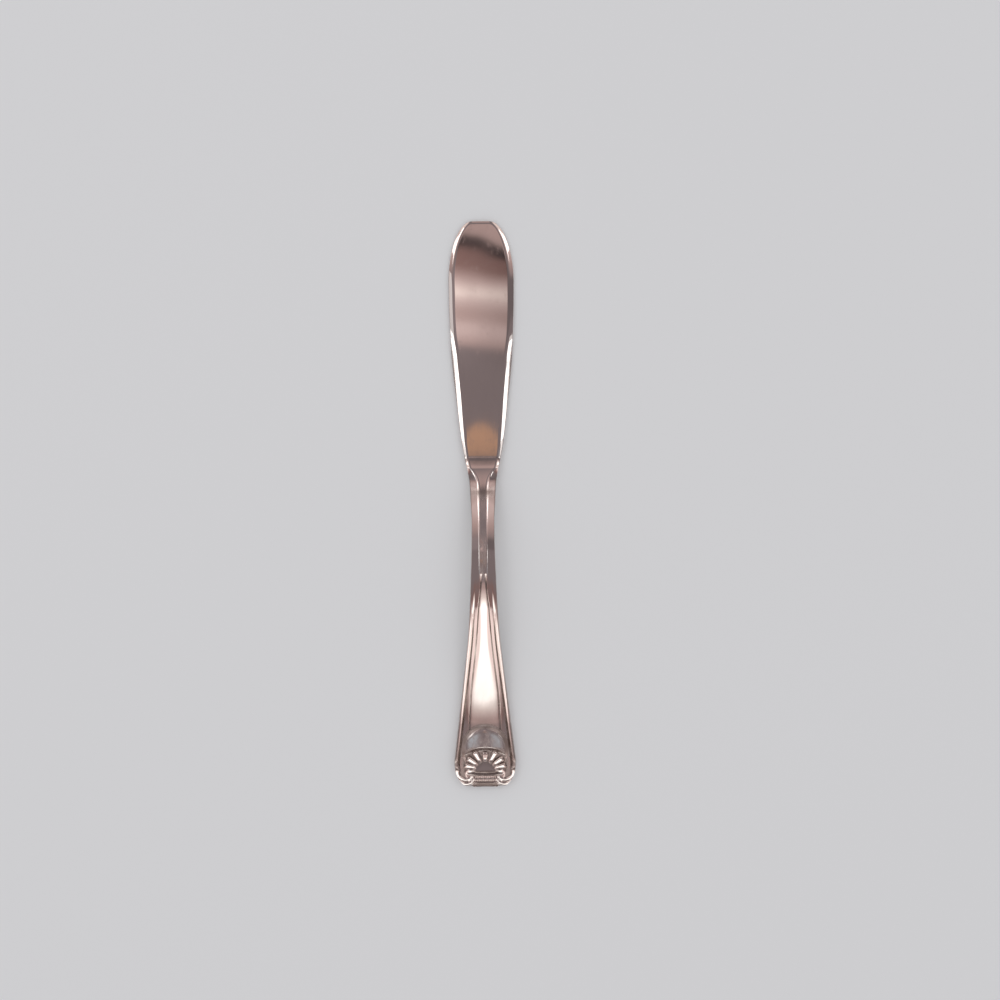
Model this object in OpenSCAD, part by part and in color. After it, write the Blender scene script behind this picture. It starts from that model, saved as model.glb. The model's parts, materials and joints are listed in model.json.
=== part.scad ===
// Flat-handled butter spreader, struck from one blank.
// The blade tip points along +Y, the struck face is up, and the knife lies on z = 0.

/* [Overall] */
// Length from the tip of the blade to the end of the handle
knife_len = 152; // [140:1:170]
// Height that the underside arches up between the blade and the end of the handle
arch_rise = 4; // [2:0.5:7]
// Where the top of the arch lies: 1 is midway, and less is nearer to the blade
arch_skew = 0.85; // [0.75:0.05:1]

/* [Blade] */
// Length of the blade from its tip to the shoulder
blade_len = 63.2; // [58:0.2:72]
// Greatest width of the blade
blade_w = 17.6; // [14:0.2:22]
// Width of the blade at the shoulder
heel_w = 9.9; // [8:0.1:12]
// Length of the rounded tip
tip_len = 16.5; // [10:0.5:22]
// Width of the nearly straight end of the tip
tip_flat = 4.6; // [3:0.2:7]
// Thickness of the blade near its tip
tip_t = 1.1; // [0.9:0.05:1.5]
// Thickness of the blade at the shoulder
heel_t = 1.6; // [1.3:0.05:2]
// Width of the ground bevel at the widest part of the blade
bevel_w = 1.7; // [1:0.1:2.4]
// Width of the ground bevel where it runs out at the shoulder
bevel_heel_w = 0.7; // [0.4:0.1:1]
// Thickness left at the cutting edge, where the bevel is widest
edge_t = 0.5; // [0.3:0.05:0.8]

/* [Shoulder and neck] */
// Length of the concave ramp from the blade up to the neck
ramp_len = 3.2; // [2:0.2:5]
// Thickness at the top of the ramp
ramp_t = 2.2; // [2.05:0.05:2.35]
// Length of the V-shaped flat below the ramp
vee_len = 6.4; // [5:0.2:9]
// Distance from the shoulder to the narrowest place of the neck
waist_len = 17.8; // [13:0.2:20]
// Width of the neck at its narrowest place
neck_w = 6.2; // [5:0.2:8]
// Thickness of the neck
neck_t = 2.9; // [2.4:0.1:3.6]
// Width of the flat facet along the top of the neck
facet_w = 2.1; // [1.4:0.1:3]
// Height that the side facets of the neck fall to the edge
facet_fall = 0.9; // [0.5:0.1:1.4]

/* [Handle] */
// Greatest width of the handle, beside the shell
handle_w = 16.6; // [13:0.2:20]
// Thickness of the handle in the middle of the shell end
handle_t = 1.8; // [1.5:0.1:2.4]
// Length of the rounded end of the handle
end_len = 7; // [5:0.2:9]
// Width of the nearly straight end of the handle
end_flat = 8; // [6:0.2:9.6]
// Distance from the shoulder to the point of the panel
panel_start = 31.4; // [27:0.2:36]
// Width of the crowned panel where it meets the shell
panel_w = 8; // [6:0.2:10]
// Height of the panel's crown
panel_crown = 0.35; // [0.1:0.05:0.6]
// Length over which the grooves beside the panel reach their depth
groove_run = 2; // [1:0.2:4]
// Width of the grooves beside the panel and inside the thread
groove_w = 0.55; // [0.4:0.05:0.7]
// Depth of those grooves
groove_depth = 0.28; // [0.1:0.02:0.35]
// Height that the border falls from the panel to the outer groove
border_fall = 0.3; // [0.1:0.05:0.5]
// Width of the thread along the edge of the handle
thread_w = 1; // [0.7:0.05:1.3]
// Height of the thread above its groove
thread_h = 0.35; // [0.2:0.05:0.6]
// Rounding of the lower edges of the handle
round_r = 0.35; // [0.2:0.05:0.6]

/* [Shell] */
// Radius of the smooth dome of the shell
dome_r = 6.3; // [5:0.1:6.8]
// Height of the dome above the border of the handle
dome_h = 1.35; // [1.1:0.05:1.6]
// Radius of the hollow round the flutes, where it leaves the top of the dome
hollow_r = 7.3; // [6.6:0.1:7.6]
// Radius of the floor of that hollow
floor_r = 5.4; // [4.8:0.1:5.8]
// Height of that floor above the border of the handle
floor_h = 0.3; // [0.2:0.05:0.5]
// Distance from the end of the handle to the middle of the dome
dome_up = 10.4; // [9:0.2:12]
// Distance from the end of the handle to the hinge of the shell
hinge_up = 4.5; // [4:0.1:5]
// Width of the boss at the hinge, where the flutes start
hinge_w = 5.6; // [4.6:0.1:6]
// Length of that boss along the handle
hinge_len = 3.4; // [2.6:0.1:3.8]
// Height of that boss above the border of the handle
hinge_h = 1.05; // [0.8:0.05:1.4]
// Distance from the hinge to the inner ends of the flutes
flute_start = 2.5; // [2:0.1:2.8]
// Number of flutes in the shell
flute_count = 9; // [5:2:9]
// Distance from the hinge to the outer ends of the flutes
flute_reach = 5.9; // [5:0.1:6.2]
// Width of a flute at its outer end
flute_w = 1.6; // [1.2:0.05:1.8]
// Height of a flute above the fan that carries it
flute_h = 0.4; // [0.2:0.05:0.6]

/* [Scrolls] */
// Distance from the centre line to the middle of each scroll
scroll_x = 5.1; // [4.9:0.05:5.3]
// Distance from the end of the handle to the middle of each scroll
scroll_up = 4.1; // [3.9:0.05:4.4]
// Radius of the inner scroll, which carries on from the thread
scroll_r = 2.1; // [1.9:0.05:2.3]
// Radius of the outer scroll, which follows the corner of the handle
outer_scroll_r = 2.3; // [2.1:0.05:2.5]
// Distance that the outer scroll's middle lies nearer to the end
outer_scroll_drop = 0.7; // [0.5:0.05:0.8]
// Width of the scrolls' moulding
scroll_w = 0.8; // [0.6:0.05:0.9]
// Height of the scrolls' moulding
scroll_h = 0.75; // [0.5:0.05:1]

/* [Beaded band] */
// Width of the band across the end of the handle
band_w = 5.8; // [5:0.1:6.4]
// Length of the band along the handle
band_len = 2.4; // [1.8:0.1:2.8]
// Height of the band above the handle
band_h = 0.5; // [0.4:0.05:0.8]
// Number of beads across the band
bead_count = 11; // [7:1:13]
// Height of a bead above the band
bead_h = 0.3; // [0.1:0.02:0.4]

/* [Hidden] */

half_len = knife_len / 2;
shoulder_y = half_len - blade_len;
belly_y = half_len - tip_len;
waist_y = shoulder_y - waist_len;
ramp_end_y = shoulder_y - ramp_len;
vee_end_y = ramp_end_y - vee_len;
panel_y = shoulder_y - panel_start;
widest_y = -half_len + end_len;
dome_y = -half_len + dome_up;
hinge_y = -half_len + hinge_up;
scroll_y = -half_len + scroll_up;
band_y = -half_len + round_r + band_len / 2;
// The handle comes down to z = 0 at the upper edge of the dome and lies flat from there to its end
landing_y = dome_y + dome_r;
// The level that the ornament stands on, and how far its widest part is bedded below that
end_top = handle_t - border_fall;
bedding = end_top / 12;
seat = end_top - bedding;

// Narrowing of the blade from its belly to the shoulder: [share of the way, share of the narrowing]
blade_taper_shares = [[0, 0], [0.17, 0.03], [0.45, 0.19], [0.68, 0.48], [0.91, 0.81]];
// Narrowing of the shoulder down to the waist of the neck
neck_taper_shares = [[0, 0], [0.21, 0.43], [0.37, 0.71], [0.66, 0.88]];
// Widening of the handle from the waist to the shell
flare_shares = [[0, 0], [0.16, 0.03], [0.33, 0.11], [0.5, 0.26], [0.67, 0.5], [0.83, 0.75], [1, 1]];
// Width of the panel from its point to the dome: [share of the way, share of the panel's width]
panel_shares = [[0, 0.03], [0.16, 0.22], [0.27, 0.42], [0.5, 0.64], [0.75, 0.9], [1, 1]];
// Places across the flat of the blade, and across its bevel
flat_shares = [0, 0.3, 0.6, 0.85, 0.9, 0.95, 1];
bevel_shares = [0.35, 0.7, 0.9, 1];
// Places across the neck's facet or the panel, from a groove's side to its bottom, and across the thread
crown_shares = [0, 0.35, 0.7, 1];
groove_shares = [0, 0.5];
thread_shares = [0, 0.5, 1];
// Angle of each flute from the middle one outwards, as a share of the widest
flute_angle_shares = [0, 0.32, 0.6, 0.83, 1];
// Reach of each flute, from the middle one outwards
flute_reach_shares = [0.84, 1, 1, 0.96, 0.84];
// Angle of the outermost flute from the middle one
fan_angle = 93;
// Where the handle's mouldings are at their full height: share of the way from panel to dome
moulding_share = 0.45;
// Radius of the upper start of a scroll against the rest of it, and its width at the end against its start
scroll_open_share = 1.2;
scroll_taper_share = 0.75;
// Squareness of the dome's profile, where 2 is an ellipse
dome_power = 3.2;
dome_facets = 56;
round_facets = 32;
flute_facets = 20;
bead_facets = 12;
moulding_sides = 10;
// Smallest step between two points that must not fall together
step = 0.05;

// A smooth curve through the points of a table, read at x
function slope(t, i) =
    let (a = max(i - 1, 0), b = min(i + 1, len(t) - 1))
    (t[b][1] - t[a][1]) / (t[b][0] - t[a][0]);
function span(t, x, i = 0) = i >= len(t) - 2 || x <= t[i + 1][0] ? i : span(t, x, i + 1);
function curve(t, x) =
    let (
        i = span(t, x),
        h = t[i + 1][0] - t[i][0],
        u = min(max((x - t[i][0]) / h, 0), 1)
    )
    (1 + 2 * u) * pow(1 - u, 2) * t[i][1] + u * pow(1 - u, 2) * h * slope(t, i)
    + u * u * (3 - 2 * u) * t[i + 1][1] + u * u * (u - 1) * h * slope(t, i + 1);

// Share of the way from a to b, eased at both ends
function ease(a, b, y) = let (u = min(max((y - a) / (b - a), 0), 1)) u * u * (3 - 2 * u);
function ramp(a, b, y) = min(max((y - a) / (b - a), 0), 1);
function mix(a, b, s) = a + (b - a) * s;
function quarter(s) = sqrt(max(1 - pow(1 - s, 2), 0));
function between(shares, y0, w0, y1, w1) = [for (p = shares) [-mix(y0, y1, p[0]), mix(w0, w1, p[1])]];

// Half the outline's width, as a table against the distance down the knife
side_table = concat(
    between(blade_taper_shares, belly_y, blade_w / 2, shoulder_y, heel_w / 2),
    between(neck_taper_shares, shoulder_y, heel_w / 2, waist_y, neck_w / 2),
    between(flare_shares, waist_y, neck_w / 2, widest_y, handle_w / 2)
);
function half_w(y) =
    y > belly_y ? mix(tip_flat / 2, blade_w / 2, quarter((half_len - y) / tip_len))
    : y < widest_y ? mix(end_flat / 2, handle_w / 2, quarter((y + half_len) / end_len))
    : curve(side_table, -y);
function half_panel(y) =
    curve([for (p = panel_shares) [-mix(panel_y, dome_y, p[0]), p[1] * panel_w / 2]], -y);
function half_bevel(y) =
    min(mix(bevel_w, bevel_heel_w, ease(belly_y, shoulder_y, y)), half_w(y) / 2);

// Height of the underside above z = 0, and thickness on the centre line
function under(y) =
    y > shoulder_y ? 0
    : y < landing_y ? 0
    : arch_rise * pow(sin(180 * pow((shoulder_y - y) / (shoulder_y - landing_y), arch_skew)), 2);
function thick(y) =
    y > shoulder_y ? mix(heel_t, tip_t, ramp(shoulder_y, belly_y, y))
    : y > ramp_end_y ? mix(heel_t, ramp_t, pow(ramp(shoulder_y, ramp_end_y, y), 2))
    : y > waist_y ? mix(neck_t, ramp_t, pow(ramp(waist_y, ramp_end_y, y), 2))
    : mix(handle_t, neck_t, ease(landing_y, waist_y, y));

// Half sections as [x, height above the underside], from the centre line to the edge
function blade_section(y) =
    let (w = half_w(y), b = half_bevel(y), t = thick(y), fall = (tip_t - edge_t) / bevel_w * b)
    concat(
        [for (s = flat_shares) [s * (w - b), t]],
        [for (s = bevel_shares) [w - b + s * b, t - s * fall]]
    );
function handle_section(y) =
    let (
        w = half_w(y),
        // The grooves start where the neck's facet ends, with the point of the panel between them
        q = max(facet_w / 2, min(half_panel(y) + groove_w, w - thread_w - 2 * groove_w)),
        p = min(half_panel(y), q - groove_w),
        // From here to the middle of the dome the neck's side facets turn into the border
        neck = ease(mix(panel_y, dome_y, moulding_share), panel_y, y),
        e = mix(w - thread_w - groove_w, w, neck),
        // The panel sinks away under the dome, and the thread ends where the scroll begins
        clear = ease(dome_y, dome_y + dome_r / 2, y),
        top = thick(y) - border_fall * (1 - clear),
        fall = mix(border_fall * clear, facet_fall, neck),
        crown = panel_crown * clear * (1 - neck),
        outside_dome = ease(dome_y + dome_r / 2, landing_y, y),
        above_scroll = ease(scroll_y, scroll_y + scroll_r, y),
        inner = groove_depth * ease(panel_y, panel_y - groove_run, y) * outside_dome,
        outer = groove_depth * above_scroll * (1 - neck),
        bead = thread_h * above_scroll * (1 - neck)
    )
    concat(
        [for (s = crown_shares) [s * p, top + crown * (1 - s * s)]],
        [[(p + q) / 2, top - inner], [q, top]],
        [for (s = groove_shares)
            let (x = w - thread_w - groove_w * (1 - s))
            [x, top - fall * ramp(q, e, x) - outer * 2 * s]],
        [for (s = thread_shares)
            let (x = w - thread_w * (1 - s))
            [x, top - fall * ramp(q, e, x) + bead * 4 * s * (1 - s)]]
    );
function mix_rows(a, b, s) = [for (i = [0:len(a) - 1]) mix(a[i], b[i], s)];
function top_half(y) =
    y > ramp_end_y ? blade_section(y)
    : mix_rows(handle_section(y), blade_section(y), pow(ramp(vee_end_y, ramp_end_y, y), 2));

// One closed ring of points at y, clockwise seen from the tip
function ring(y) =
    let (
        half = top_half(y),
        last = len(half) - 1,
        w = half[last][0],
        z0 = under(y),
        r = min(round_r, half[last][1] / 2),
        k = y > shoulder_y ? 0 : ramp(shoulder_y, vee_end_y, y) * r
    )
    concat(
        [for (i = [last:-1:1]) [-half[i][0], y, z0 + half[i][1]]],
        [for (i = [0:last]) [half[i][0], y, z0 + half[i][1]]],
        [[w, y, z0 + k], [w - k - step, y, z0], [0, y, z0], [k + step - w, y, z0], [-w, y, z0 + k]]
    );

stations = concat(
    [for (a = [0:9:90]) half_len - tip_len * (1 - cos(a))],
    [for (s = [0.1:0.1:1]) mix(belly_y, shoulder_y, s)],
    [for (s = [0.125:0.125:1]) mix(shoulder_y, ramp_end_y, s)],
    [for (s = [0.125:0.125:1]) mix(ramp_end_y, vee_end_y, s)],
    [for (s = [0.125:0.125:1]) mix(vee_end_y, panel_y, s)],
    [for (s = [0.25:0.25:1]) panel_y - s * groove_run],
    [for (s = [0.05:0.05:1]) mix(panel_y - groove_run, widest_y, s)],
    [for (a = [9:9:90]) -half_len + end_len * (1 - sin(a))]
);

module blank() {
    rings = [for (y = stations) ring(y)];
    n = len(rings[0]);
    m = len(rings);
    polyhedron(
        points = [for (r = rings) for (p = r) p],
        faces = concat(
            [[for (i = [n - 1:-1:0]) i]],
            [for (j = [0:m - 2]) for (i = [0:n - 1])
                [j * n + i, j * n + (i + 1) % n, (j + 1) * n + (i + 1) % n, (j + 1) * n + i]],
            [[for (i = [0:n - 1]) (m - 1) * n + i]]
        )
    );
}

// A moulding swept along points in one plane, with a half width at each point
module moulding(path, widths, height) {
    n = len(path);
    m = moulding_sides;
    points = [for (i = [0:n - 1])
        let (
            d = path[min(i + 1, n - 1)] - path[max(i - 1, 0)],
            across = [d[1], -d[0], 0] / norm(d)
        )
        for (k = [0:m - 1])
            path[i] + widths[i] * cos(360 * k / m) * across + [0, 0, height * sin(360 * k / m)]];
    polyhedron(
        points = points,
        faces = concat(
            [[for (k = [m - 1:-1:0]) k]],
            [for (i = [0:n - 2]) for (k = [0:m - 1])
                [i * m + k, i * m + (k + 1) % m, (i + 1) * m + (k + 1) % m, (i + 1) * m + k]],
            [[for (k = [0:m - 1]) (n - 1) * m + k]]
        )
    );
}

// Height of the dome above the border at a distance from its middle
function dome_at(r) = dome_h * pow(max(1 - pow(r / dome_r, dome_power), 0), 1 / dome_power);
// Height of the fan of flutes, which falls from the boss at the hinge to the floor of the hollow
function fan_at(r) = mix(hinge_h, floor_h, ramp(hinge_w / 2, floor_r, r));

module dome() {
    slope = (hollow_r - floor_r) / (dome_h - floor_h);
    difference() {
        translate([0, dome_y, end_top])
            rotate_extrude($fn = dome_facets)
                polygon(concat(
                    [[0, -2 * bedding], [dome_r, -2 * bedding]],
                    [for (a = [0:7.5:90]) [dome_r * cos(a), dome_at(dome_r * cos(a))]]
                ));
        translate([0, hinge_y, end_top + floor_h])
            cylinder(h = dome_h, r1 = floor_r, r2 = floor_r + slope * dome_h, $fn = dome_facets);
    }
}

// The upper half of a low cone, which carries the flutes
module fan() {
    intersection() {
        translate([0, hinge_y, seat])
            cylinder(h = hinge_h + bedding, r1 = floor_r, r2 = hinge_w / 2, $fn = dome_facets);
        translate([-handle_w / 2, hinge_y - hinge_len / 4, 0])
            cube([handle_w, dome_up, end_top + 2 * dome_h]);
    }
}

module hinge() {
    translate([0, hinge_y + hinge_len / 4, seat])
        scale([hinge_w / 2, hinge_len / 2, hinge_h + bedding])
            sphere(r = 1, $fn = round_facets);
}

// One flute: a long drop that swells towards its outer end and stands a little above the fan
module flute(turn, reach) {
    outer = reach - flute_w / 2;
    inner = flute_start + flute_w / 3;
    outer_h = fan_at(outer) + flute_h;
    inner_h = fan_at(inner) + flute_h;
    translate([0, hinge_y, seat])
        rotate([0, 0, -turn])
            hull() {
                translate([0, outer, 0])
                    scale([flute_w / 2, flute_w / 2, outer_h + bedding])
                        sphere(r = 1, $fn = flute_facets);
                translate([0, inner, 0])
                    scale([flute_w / 3, flute_w / 3, inner_h + bedding])
                        sphere(r = 1, $fn = flute_facets);
            }
}

module shell() {
    dome();
    fan();
    hinge();
    side_flutes = (flute_count - 1) / 2;
    for (i = [0:side_flutes], side = [-1, 1])
        if (i > 0 || side > 0)
            flute(side * fan_angle * flute_angle_shares[i], flute_reach * flute_reach_shares[i]);
}

function arc(y, r0, r1, a0, a1) =
    [for (s = [0:0.0625:1])
        let (a = mix(a0, a1, s), r = mix(r0, r1, s))
        [r * cos(a) - scroll_x, y + r * sin(a), seat]];

// The left pair of scrolls: the thread curls in under the shell, and a second curl follows the corner
module scroll() {
    widths = [for (s = [0:0.0625:1]) scroll_w / 2 * mix(1, scroll_taper_share, s)];
    moulding(arc(scroll_y, scroll_r * scroll_open_share, scroll_r, 165, 325), widths, scroll_h + bedding);
    moulding(
        arc(scroll_y - outer_scroll_drop, outer_scroll_r, outer_scroll_r, 205, 342),
        widths,
        scroll_h + bedding
    );
}

module band() {
    pitch = band_w / bead_count;
    translate([0, band_y, seat])
        scale([1, band_len / 2, band_h + bedding])
            rotate([0, 90, 0])
                cylinder(h = band_w, r = 1, center = true, $fn = round_facets);
    for (i = [0:bead_count - 1])
        translate([(i - (bead_count - 1) / 2) * pitch, band_y, seat])
            hull()
                for (end = [-1, 1])
                    translate([0, end * band_len / 6, 0])
                        scale([pitch / 2, band_len / 3, band_h + bead_h + bedding])
                            sphere(r = 1, $fn = bead_facets);
}

// The struck ornament, without what would reach through the underside
module ornament() {
    intersection() {
        union() {
            shell();
            band();
            for (side = [0, 1])
                mirror([side, 0, 0])
                    scroll();
        }
        translate([-handle_w / 2, -half_len, end_top / 2])
            cube([handle_w, end_len + dome_r + dome_up, end_top + 2 * dome_h]);
    }
}

module butter_spreader() {
    color("silver")
        union() {
            blank();
            ornament();
        }
}

butter_spreader();
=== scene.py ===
import json
import math

import bmesh
import bpy
import numpy
from mathutils import Matrix, Vector, kdtree

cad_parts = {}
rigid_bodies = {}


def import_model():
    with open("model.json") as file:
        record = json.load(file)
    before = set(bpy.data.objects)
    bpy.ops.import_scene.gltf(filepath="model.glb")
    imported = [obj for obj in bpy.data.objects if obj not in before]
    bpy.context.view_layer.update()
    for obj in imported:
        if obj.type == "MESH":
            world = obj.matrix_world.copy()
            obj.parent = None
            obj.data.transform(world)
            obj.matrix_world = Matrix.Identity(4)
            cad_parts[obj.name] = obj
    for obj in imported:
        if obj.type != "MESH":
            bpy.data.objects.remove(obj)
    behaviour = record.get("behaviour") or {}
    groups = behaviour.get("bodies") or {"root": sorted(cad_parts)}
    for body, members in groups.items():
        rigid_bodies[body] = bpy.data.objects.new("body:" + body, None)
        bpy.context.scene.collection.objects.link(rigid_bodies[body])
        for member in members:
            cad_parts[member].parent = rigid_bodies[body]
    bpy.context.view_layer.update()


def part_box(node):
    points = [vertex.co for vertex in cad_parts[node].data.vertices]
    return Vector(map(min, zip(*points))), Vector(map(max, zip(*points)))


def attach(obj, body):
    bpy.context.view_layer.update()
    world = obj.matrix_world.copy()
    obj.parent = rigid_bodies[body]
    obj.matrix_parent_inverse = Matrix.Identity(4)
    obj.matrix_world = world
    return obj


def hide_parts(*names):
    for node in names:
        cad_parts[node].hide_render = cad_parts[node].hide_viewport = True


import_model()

partLow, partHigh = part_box("butter_spreader")
mm = 0.001
print("frame loaded")

# Lengths are in millimetres until a point goes into a mesh.
# Y runs towards the blade's tip, Z out of the face.
blank = {
    "length": (partHigh.y - partLow.y) / mm,
    "archRise": 3.97,
    "archSkew": 0.85,            # below 1 the arch is highest nearer to the blade
    "bladeLength": 63.2,
    "bladeWidth": (partHigh.x - partLow.x) / mm,
    "heelWidth": 9.9,
    "tipLength": 16.5,
    "tipFlat": 4.6,
    "heelThickness": 1.6,
    "thinning": (0.6, 0.15),     # how much of that is lost down the blade, evenly and ever faster
    "bevelWidths": ((16.5, 1.15), (30, 1.2), (38, 1.7), (50, 1.4), (63.2, 0.8)),   # down from the tip
    "bevelHeelWidth": 0.8,
    "bevelSlope": 0.3,
    "bevelCrown": 0.032,
    "endBevelShare": 0.3,        # how wide the bevel still is across the very end of the tip
    "endBevelTurn": 1.5,         # how early it narrows on its way there
    "rampLength": 3.2,
    "rampThickness": 2.2,
    "veeLength": 6.4,
    "veeSteepness": 1.35,        # how much steeper its facets get
    "veeSteepShare": 0.7,        # and over which share of its length
    "waistLength": 17.8,
    "neckWidth": 6.2,
    "neckThickness": 2.9,
    "facetWidth": 2.1,
    "facetFall": 0.9,
    "handleWidth": 16.6,
    "handleThickness": 1.8,
    "endLength": 7,
    "endFlat": 8,
    "panelStart": 31.4,
    "panelWidth": 8,
    "panelCrown": 0.24,
    "facetFade": 0.45,           # how far down the panel the neck's facets run out
    "grooveWidth": 0.55,
    "grooveDepth": 0.3,
    "grooveRun": 2,
    "borderFall": 0.2,
    "threadWidth": 1,
    "threadHeight": 0.35,
    "threadFullness": 0.8,       # 1 would be a parabola, less is rounder
    "creaseRound": 0.12,
    "bevelRound": 0.12,
    "facetRound": 0.5,
    "facetRoundFrom": 4,         # above the panel's point and the waist
    "bladeEdgeRound": 0.14,
    "handleEdgeRound": 0.25,
    "handleEndRound": 1.15,
    "underRound": 0.32,
    "underRoundShare": 0.4,      # at most, of the height of the edge above
    "underRings": (30, 60, 90),
    "underFlatRing": 1.4,        # one more ring lies flat, this many radii in
    "narrowest": 0.1,            # keeps every slope finite
}
shell = {
    "domeUp": 10.4,
    "domeRadius": 6.3,
    "domeHeight": 1.0,
    "domeRim": 10,               # 2 would be a parabola, more makes a steeper rim
    "domeSides": 0.88,           # share of its height that it loses towards its sides
    "domeTilt": -0.04,           # it falls a little towards the blade
    "hingeUp": 4.5,
    "hollowRadius": 6.2,
    "hollowStretch": 1.65,       # how much wider than long the hollow is
    "hollowWall": 1.3,           # 1 would be straight, more starts gently
    "hollowSpare": (0.1, 0.05),  # how far the die reaches beyond the hollow and above the dome
    "floorRadius": 5.3,
    "floorHeight": 0.2,
    "fanRadius": 5.5,
    "fanHeight": 0.5,
    "fanFlat": 2.6,
    "fanTilt": 0.05,
    "fanRim": 0.4,
    "fanEnd": (0.7, 1.4),        # it runs out between these, below the hinge
    "fanEndBow": 0.02,
    "fluteAngles": (0, 30, 56, 77, 93),
    "fluteReach": (5.0, 5.95, 5.95, 5.7, 4.95),
    "fluteTilt": (0.025, 0.12, 0.13, 0.12, 0.11),   # the ridges rise towards the dome
    "fluteStart": 2.5,
    "fluteWidth": 1.9,
    "fluteNarrow": 0.6,          # share of its width at the inner end
    "fluteHeight": 0.62,
}
scroll = {
    "x": 5.1,
    "up": 4.1,
    "radius": 2.1,
    "opening": 1.2,              # radius where the scroll leaves the thread, against its radius inside
    "startAngle": 165,
    "endAngle": 325,
    "outerDrop": 1.1,
    "outerRadius": 2.3,
    "outerStart": 205,
    "outerEnd": 342,
    "width": 1.2075,
    "height": 0.5,
    "taper": 0.75,
    "tilt": 0.115,               # how much it falls towards the end of the handle
    "barSides": 20,
    "steps": 40,
}
band = {
    "up": 2.05,
    "width": 5.9,
    "length": 3.0,
    "height": 0.4,
    "sunk": 0.3,                 # how deep the roll lies in the plate
    "halfShare": 0.53,           # half of the roll, against the width of the beads
    "squareness": 0.25,          # 1 would be a pointed roll
    "beads": 11,
    "beadFill": 0.92,            # share of its place that a bead takes up
    "beadLength": 1.9,
    "beadHeight": 0.26,
}
sheet = {
    "columnCounts": (28, 8, 22, 9, 17),   # on each side: panel, groove, border, groove, thread
    "keyGap": 0.15,              # on both sides of the bevel's crease
    "edgeKeyGap": 1.6,           # and this many of them in from the blade's edge
    "leastBorder": 0.2,
    "pointSpread": 1.6,          # more columns beside the point of the panel
    "pointRun": (-4, -1, 0, 1.5),
    "evenRun": (6, 0.5),         # above the dome, from where the columns get evenly spaced
    "roundedEnd": 0.7,           # so far the rows follow the end of the handle
    "angleStep": 2.3,
    "softened": 0.5,             # how far above the dome the softening begins
}

halfLength = blank["length"] / 2
shoulderY = halfLength - blank["bladeLength"]
bellyY = halfLength - blank["tipLength"]
rampEndY = shoulderY - blank["rampLength"]
veeEndY = rampEndY - blank["veeLength"]
waistY = shoulderY - blank["waistLength"]
panelY = shoulderY - blank["panelStart"]
widestY = blank["endLength"] - halfLength
domeY = shell["domeUp"] - halfLength
hingeY = shell["hingeUp"] - halfLength
scrollY = scroll["up"] - halfLength
bandY = band["up"] - halfLength
landingY = domeY + shell["domeRadius"]
plateTop = blank["handleThickness"] - blank["borderFall"]

# How far the rows of the sheet run and how close they lie, closest where the dies cut deep
rowRuns = (
    (landingY + 1.3, 0.12), (panelY - 2.5, 0.42), (panelY + 0.5, 0.2), (veeEndY, 0.5),
    (rampEndY, 0.2), (shoulderY, 0.16), (bellyY, 0.65),
)


def ramp(a, b, y):
    return min(max((y - a) / (b - a), 0), 1)


def ease(a, b, y):
    u = ramp(a, b, y)
    return u * u * (3 - 2 * u)


# Rises over the first two places and falls over the last two
def riseAndFall(places, y):
    a, b, c, d = places
    return ease(a, b, y) * ease(d, c, y)


def mix(a, b, share):
    return a + (b - a) * share


def quarter(share):
    return math.sqrt(max(1 - (1 - share) ** 2, 0))


def softMin(a, b, width):
    near = max(width - abs(a - b), 0) / width
    return min(a, b) - near * near * width / 4


# A smooth curve through a table of places and widths
def curve(table, x):
    last = len(table) - 1
    i = 0
    while i < last - 1 and x > table[i + 1][0]:
        i += 1

    def slope(k):
        a, b = table[max(k - 1, 0)], table[min(k + 1, last)]
        return (b[1] - a[1]) / (b[0] - a[0])

    h = table[i + 1][0] - table[i][0]
    u = min(max((x - table[i][0]) / h, 0), 1)
    return (
        (1 + 2 * u) * (1 - u) ** 2 * table[i][1]
        + u * (1 - u) ** 2 * h * slope(i)
        + u * u * (3 - 2 * u) * table[i + 1][1]
        + u * u * (u - 1) * h * slope(i + 1)
    )


def between(shares, y0, width0, y1, width1):
    return [(-mix(y0, y1, a), mix(width0, width1, b)) for a, b in shares]


bladeTaper = [(0, 0), (0.17, 0.03), (0.45, 0.19), (0.68, 0.48), (0.91, 0.81)]
neckTaper = [(0, 0), (0.21, 0.43), (0.37, 0.71), (0.66, 0.88)]
handleFlare = [(0, 0), (0.16, 0.03), (0.33, 0.11), (0.5, 0.26), (0.67, 0.5), (0.83, 0.75), (1, 1)]
panelFlare = [(0, 0.03), (0.16, 0.22), (0.27, 0.42), (0.5, 0.64), (0.75, 0.9), (1, 1)]
sideTable = (
    between(bladeTaper, bellyY, blank["bladeWidth"] / 2, shoulderY, blank["heelWidth"] / 2)
    + between(neckTaper, shoulderY, blank["heelWidth"] / 2, waistY, blank["neckWidth"] / 2)
    + between(handleFlare, waistY, blank["neckWidth"] / 2, widestY, blank["handleWidth"] / 2)
)
panelTable = between(panelFlare, panelY, 0, domeY, blank["panelWidth"] / 2)


def halfWidth(y):
    if y > bellyY:
        share = quarter((halfLength - y) / blank["tipLength"])
        return mix(blank["tipFlat"], blank["bladeWidth"], share) / 2
    if y < widestY:
        share = quarter((halfLength + y) / blank["endLength"])
        return mix(blank["endFlat"], blank["handleWidth"], share) / 2
    return curve(sideTable, -y)


def halfPanel(y):
    return curve(panelTable, -y)


def halfBevel(y):
    return curve(blank["bevelWidths"], halfLength - y)


def underside(y):
    if y > shoulderY or y < landingY:
        return 0
    share = (shoulderY - y) / (shoulderY - landingY)
    return blank["archRise"] * math.sin(math.pi * share ** blank["archSkew"]) ** 2


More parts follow.
